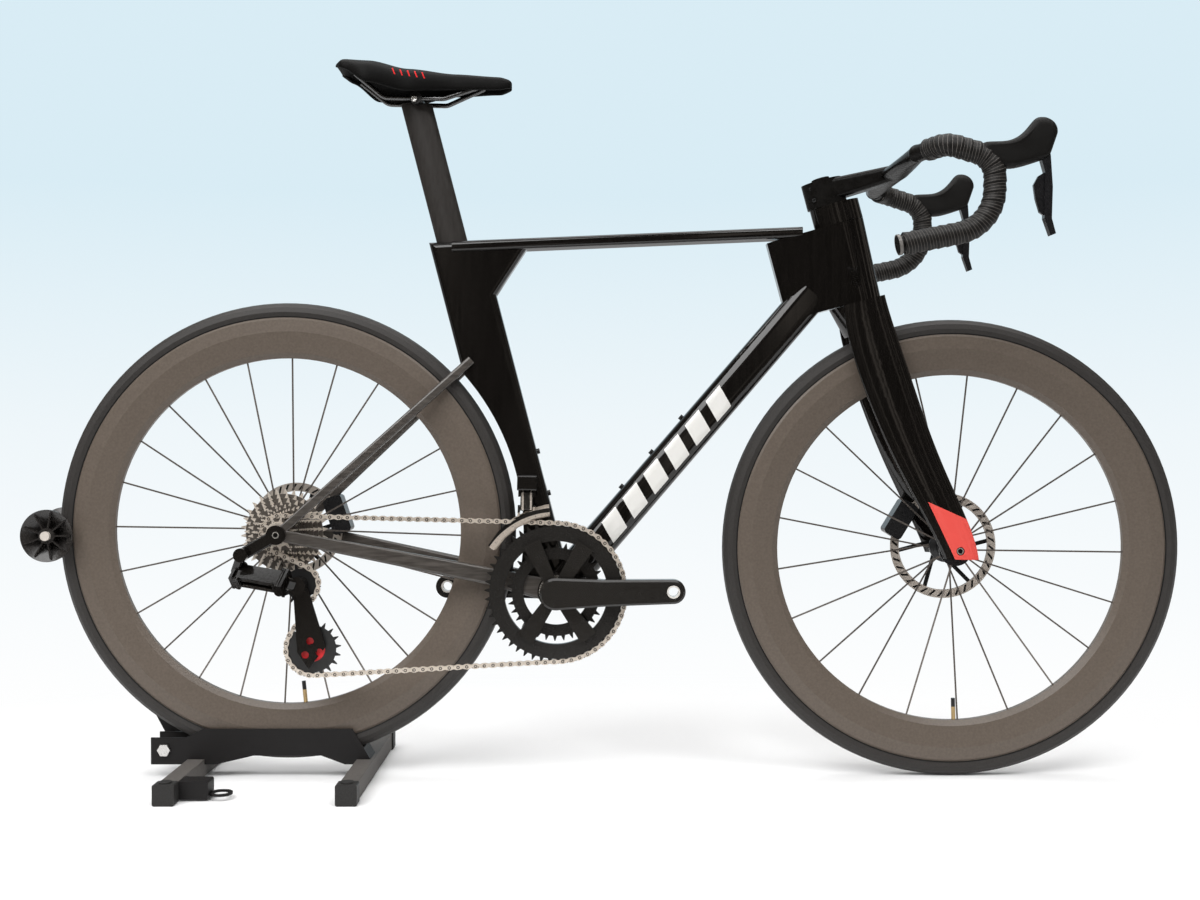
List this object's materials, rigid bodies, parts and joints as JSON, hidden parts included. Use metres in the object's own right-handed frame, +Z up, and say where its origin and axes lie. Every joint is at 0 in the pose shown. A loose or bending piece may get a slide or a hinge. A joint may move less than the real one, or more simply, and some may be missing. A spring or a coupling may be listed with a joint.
{
  "type": "road bicycle on display stand",
  "caption": "Road racing bicycle with deep rims, drop bars, disc brakes and chain drive, its rear wheel held in a roller display stand.",
  "frame": {"origin": "centre of the bounding box at floor level", "axes": "+X forward from rear wheel to front wheel, +Y to the left of the rider, +Z up"},
  "size_m": [1.7091, 0.452, 1.0559],
  "materials": {
    "black_alloy": "black anodised alloy",
    "black_plastic": "matt moulded plastic",
    "carbon": "satin carbon fibre laminate",
    "foot_plastic": "matt moulded plastic",
    "frame_gloss": "gloss black lacquer over carbon fibre",
    "hood_rubber": "fine-grained rubber",
    "saddle": "smooth black cover",
    "silver_steel": "bright plated steel",
    "spoke_black": "black oxide steel",
    "stand_paint": "matt black powder coat",
    "tape": "wrapped cushioned tape",
    "tyre": "matt rubber",
    "warm_alloy": "pale anodised alloy"
  },
  "bodies": {
    "frame_on_stand": {"main_frame": "frame_gloss", "head_nose": "frame_gloss", "rear_triangle": "frame_gloss", "derailleur_hanger": "black_alloy", "seatpost": "carbon", "saddle_clamp": "black_alloy", "saddle_rails": "spoke_black", "saddle_cover": "saddle", "bottom_bracket_cups": "silver_steel", "headset_bearings": "silver_steel", "rear_axle": "silver_steel", "rear_caliper": "black_alloy", "fd_body": "black_alloy", "bottle_bolts": "black_alloy", "chain": "silver_steel", "rd_body": "black_alloy", "stand_side_plates": "stand_paint", "stand_legs": "stand_paint", "stand_feet": "foot_plastic", "stand_pivot_bolt": "silver_steel", "stand_spring": "silver_steel", "stand_bracket": "stand_paint"},
    "fork_and_bars": {"fork": "frame_gloss", "headset_spacer": "frame_gloss", "handlebar": "carbon", "bar_tape": "tape", "bar_end_plugs": "black_plastic", "lever_bodies": "hood_rubber", "front_axle": "silver_steel", "front_caliper": "black_alloy"},
    "right_lever": {"right_brake_lever": "black_alloy"},
    "left_lever": {"left_brake_lever": "black_alloy"},
    "right_paddle": {"right_shift_paddle": "black_plastic"},
    "left_paddle": {"left_shift_paddle": "black_plastic"},
    "front_wheel": {"front_tyre": "tyre", "front_rim": "carbon", "front_spokes": "spoke_black", "front_hub": "black_alloy", "front_rotor": "silver_steel"},
    "rear_wheel": {"rear_tyre": "tyre", "rear_rim": "carbon", "rear_spokes": "spoke_black", "rear_hub": "black_alloy", "rear_rotor": "silver_steel"},
    "cassette_body": {"cassette": "silver_steel"},
    "crankset": {"right_crank": "frame_gloss", "big_chainring": "black_alloy", "small_chainring": "black_alloy", "left_crank": "frame_gloss"},
    "rd_outer": {"rd_outer_link": "black_alloy"},
    "rd_inner": {"rd_inner_link": "black_alloy"},
    "rd_knuckle_body": {"rd_knuckle": "black_alloy"},
    "rd_cage_body": {"rd_cage": "black_alloy"},
    "guide_pulley": {"upper_pulley": "black_plastic"},
    "tension_pulley": {"lower_pulley": "black_plastic"},
    "fd_arm": {"fd_link": "warm_alloy"},
    "fd_guide": {"fd_cage": "warm_alloy"},
    "roller_arm": {"stand_arm": "stand_paint"},
    "right_roller_body": {"right_roller": "black_plastic"},
    "left_roller_body": {"left_roller": "black_plastic"}
  },
  "joints": [
    {"name": "steering", "type": "hinge", "parent": "frame_on_stand", "child": "fork_and_bars", "pos_m": [0.34043, 0, 0.8169], "axis": [-0.2598, 0, 0.9657], "range_deg": [-50, 50]},
    {"name": "front_wheel_spin", "type": "hinge", "parent": "fork_and_bars", "child": "front_wheel", "pos_m": [0.51559, 0, 0.339], "axis": [0, 1, 0], "continuous": true},
    {"name": "rear_wheel_spin", "type": "hinge", "parent": "frame_on_stand", "child": "rear_wheel", "pos_m": [-0.46909, 0, 0.3638], "axis": [0, 1, 0], "continuous": true},
    {"name": "crank_spin", "type": "hinge", "parent": "frame_on_stand", "child": "crankset", "pos_m": [-0.06926, 0, 0.27771], "axis": [0, 1, 0], "continuous": true, "deforming": ["chain"]},
    {"name": "cassette_spin", "type": "hinge", "parent": "frame_on_stand", "child": "cassette_body", "pos_m": [-0.46909, 0, 0.3638], "axis": [0, 1, 0], "continuous": true},
    {"name": "rd_shift", "type": "hinge", "parent": "frame_on_stand", "child": "rd_outer", "pos_m": [-0.52044, -0.084, 0.31108], "axis": [0.2345, 0.6533, 0.7199], "range_deg": [-9.4, 40.8], "deforming": ["chain"]},
    {"name": "rd_inner_swing", "type": "hinge", "parent": "frame_on_stand", "child": "rd_inner", "pos_m": [-0.51968, -0.07303, 0.30087], "axis": [0.2345, 0.6533, 0.7199], "range_deg": [-9.4, 40.8]},
    {"name": "rd_knuckle_swing", "type": "hinge", "parent": "rd_outer", "child": "rd_knuckle_body", "pos_m": [-0.46025, -0.09615, 0.3025], "axis": [0.2345, 0.6533, 0.7199], "range_deg": [-40.8, 9.4]},
    {"name": "rd_cage_swing", "type": "hinge", "parent": "rd_knuckle_body", "child": "rd_cage_body", "pos_m": [-0.43892, 0, 0.29102], "axis": [0, 1, 0], "range_deg": [-25, 35], "stiffness_Nm_per_rad": 0.2, "deforming": ["chain"]},
    {"name": "upper_pulley_spin", "type": "hinge", "parent": "rd_cage_body", "child": "guide_pulley", "pos_m": [-0.43892, 0, 0.29102], "axis": [0, 1, 0], "continuous": true},
    {"name": "lower_pulley_spin", "type": "hinge", "parent": "rd_cage_body", "child": "tension_pulley", "pos_m": [-0.42188, 0, 0.19715], "axis": [0, 1, 0], "continuous": true},
    {"name": "fd_swing", "type": "hinge", "parent": "frame_on_stand", "child": "fd_arm", "pos_m": [-0.11164, -0.04276, 0.42182], "axis": [0.9997, 0, -0.0252], "range_deg": [0, 19.6], "deforming": ["chain"]},
    {"name": "fd_cage_swing", "type": "hinge", "parent": "fd_arm", "child": "fd_guide", "pos_m": [-0.11219, -0.0465, 0.40015], "axis": [0.9997, 0, -0.0252], "range_deg": [-19.6, 0]},
    {"name": "right_lever_pull", "type": "hinge", "parent": "fork_and_bars", "child": "right_lever", "pos_m": [0.58628, -0.205, 0.88867], "axis": [0, 1, 0], "range_deg": [0, 22], "stiffness_Nm_per_rad": 0.4},
    {"name": "left_lever_pull", "type": "hinge", "parent": "fork_and_bars", "child": "left_lever", "pos_m": [0.58628, 0.205, 0.88867], "axis": [0, 1, 0], "range_deg": [0, 22], "stiffness_Nm_per_rad": 0.4},
    {"name": "right_paddle_press", "type": "hinge", "parent": "right_lever", "child": "right_paddle", "pos_m": [0.58628, -0.205, 0.88867], "axis": [0, 1, 0], "range_deg": [0, 8], "stiffness_Nm_per_rad": 0.05},
    {"name": "left_paddle_press", "type": "hinge", "parent": "left_lever", "child": "left_paddle", "pos_m": [0.58628, 0.205, 0.88867], "axis": [0, 1, 0], "range_deg": [0, 8], "stiffness_Nm_per_rad": 0.05},
    {"name": "stand_arm_swing", "type": "hinge", "parent": "frame_on_stand", "child": "roller_arm", "pos_m": [-0.64879, 0, 0.0415], "axis": [0, 1, 0], "range_deg": [-55, 0], "stiffness_Nm_per_rad": 1, "deforming": ["stand_spring"]},
    {"name": "right_roller_spin", "type": "hinge", "parent": "roller_arm", "child": "right_roller_body", "pos_m": [-0.81609, -0.02, 0.359], "axis": [0, 1, 0], "continuous": true},
    {"name": "left_roller_spin", "type": "hinge", "parent": "roller_arm", "child": "left_roller_body", "pos_m": [-0.81609, 0.02, 0.359], "axis": [0, 1, 0], "continuous": true}
  ],
  "couplings": [
    {"joint": "cassette_spin", "follows": "crank_spin", "ratio": 3.8462},
    {"joint": "upper_pulley_spin", "follows": "crank_spin", "ratio": -3.8462},
    {"joint": "lower_pulley_spin", "follows": "crank_spin", "ratio": 2.6316},
    {"joint": "rd_inner_swing", "follows": "rd_shift", "ratio": 1},
    {"joint": "rd_knuckle_swing", "follows": "rd_shift", "ratio": -1},
    {"joint": "fd_cage_swing", "follows": "fd_swing", "ratio": -1}
  ]
}
